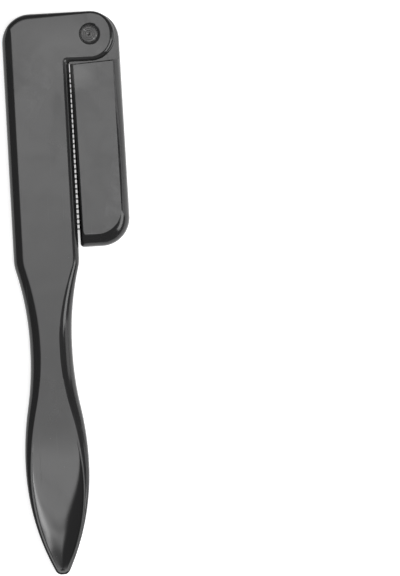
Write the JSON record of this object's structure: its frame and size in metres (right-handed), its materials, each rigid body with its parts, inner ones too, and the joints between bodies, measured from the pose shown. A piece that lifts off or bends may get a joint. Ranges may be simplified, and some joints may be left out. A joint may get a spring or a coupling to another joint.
{
  "type": "folding eyebrow comb",
  "caption": "Folding eyebrow comb: slim moulded handle with a slotted head, a leaf-shaped dished grip and a hinged arm of fine steel needles.",
  "frame": {"origin": "on the surface the closed comb lies on, under the middle of its overall box", "axes": "+Y along the length towards the head, +X towards the swing arm, +Z out of the front face"},
  "size_m": [0.025, 0.12, 0.006],
  "materials": {
    "handle_plastic": "polished black moulding",
    "arm_plastic": "polished black moulding",
    "rivet_steel": "blackened, turned face",
    "needle_steel": "drawn and ground"
  },
  "bodies": {
    "handle_body": {"handle": "handle_plastic", "pivot_rivet": "rivet_steel"},
    "comb_body": {"comb_arm": "arm_plastic", "needle_01": "needle_steel", "needle_02": "needle_steel", "needle_03": "needle_steel", "needle_04": "needle_steel", "needle_05": "needle_steel", "needle_06": "needle_steel", "needle_07": "needle_steel", "needle_08": "needle_steel", "needle_09": "needle_steel", "needle_10": "needle_steel", "needle_11": "needle_steel", "needle_12": "needle_steel", "needle_13": "needle_steel", "needle_14": "needle_steel", "needle_15": "needle_steel", "needle_16": "needle_steel", "needle_17": "needle_steel", "needle_18": "needle_steel", "needle_19": "needle_steel", "needle_20": "needle_steel", "needle_21": "needle_steel", "needle_22": "needle_steel", "needle_23": "needle_steel", "needle_24": "needle_steel", "needle_25": "needle_steel", "needle_26": "needle_steel", "needle_27": "needle_steel", "needle_28": "needle_steel", "needle_29": "needle_steel", "needle_30": "needle_steel", "needle_31": "needle_steel", "needle_32": "needle_steel"}
  },
  "joints": [
    {"name": "comb_swing", "type": "hinge", "parent": "handle_body", "child": "comb_body", "pos_m": [0.00638, 0.05515, 0.003], "axis": [0, 0, 1], "range_deg": [0, 180]}
  ]
}
